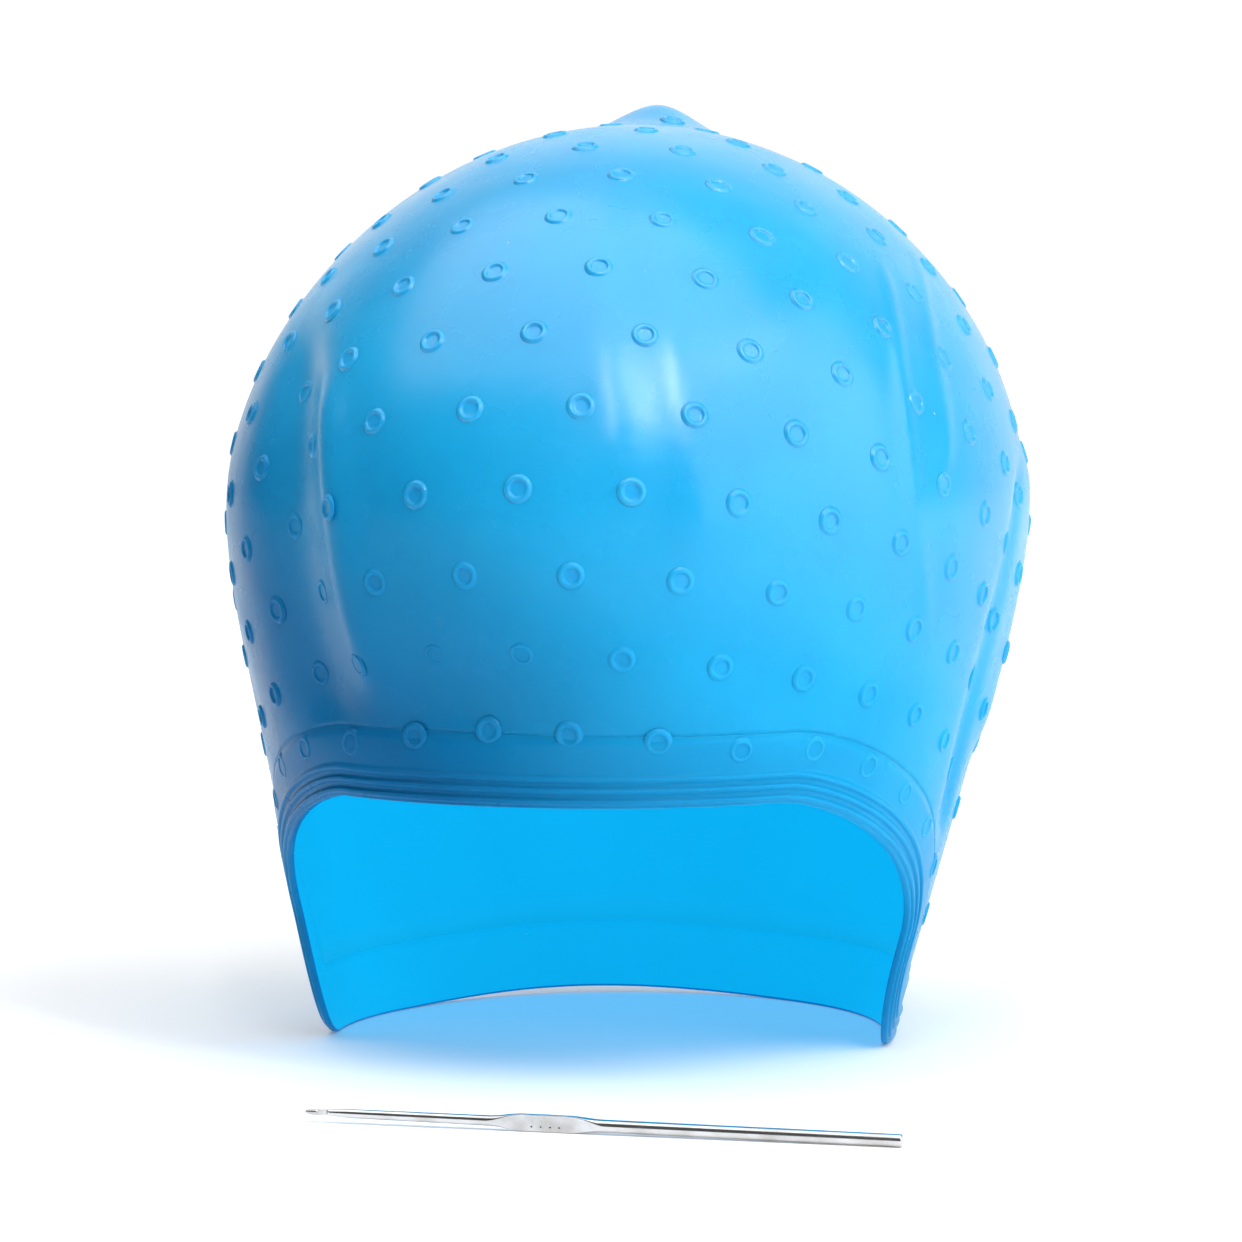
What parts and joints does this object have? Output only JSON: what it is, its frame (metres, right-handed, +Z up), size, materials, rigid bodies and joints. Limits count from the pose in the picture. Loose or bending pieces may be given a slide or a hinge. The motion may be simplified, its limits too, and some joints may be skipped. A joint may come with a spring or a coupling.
{
  "type": "highlighting cap",
  "caption": "Domed silicone hair-highlighting cap with a beaded hem, a wide face opening and rows of small raised rings, with a loose steel crochet hook for pulling strands through.",
  "frame": {"origin": "on the ground under the middle of the cap, in the plane of its lower edge", "axes": "+Z up, the face opening towards -Y, +X to the right of someone who faces the opening"},
  "size_m": [0.1741, 0.2461, 0.2054],
  "materials": {
    "silicone_wall": "satin translucent",
    "silicone_hem": "satin translucent",
    "silicone_ring": "satin translucent",
    "steel": "polished nickel-plated"
  },
  "bodies": {
    "cap": {"cap_skin": "silicone_wall", "rim_band": "silicone_hem", "ring_row_01": "silicone_ring", "ring_row_02": "silicone_ring", "ring_row_03": "silicone_ring", "ring_row_04": "silicone_ring", "ring_row_05": "silicone_ring", "ring_row_06": "silicone_ring", "ring_row_07": "silicone_ring", "ring_row_08": "silicone_ring", "ring_row_09": "silicone_ring", "ring_row_10": "silicone_ring", "ring_row_11": "silicone_ring", "ring_row_12": "silicone_ring", "ring_row_13": "silicone_ring"},
    "hook": {"crochet_hook": "steel"}
  },
  "joints": [
    {"name": "hook_lift", "type": "slide", "parent": "cap", "child": "hook", "axis": [0, 0, 1], "range_m": [0, 0.15]}
  ]
}
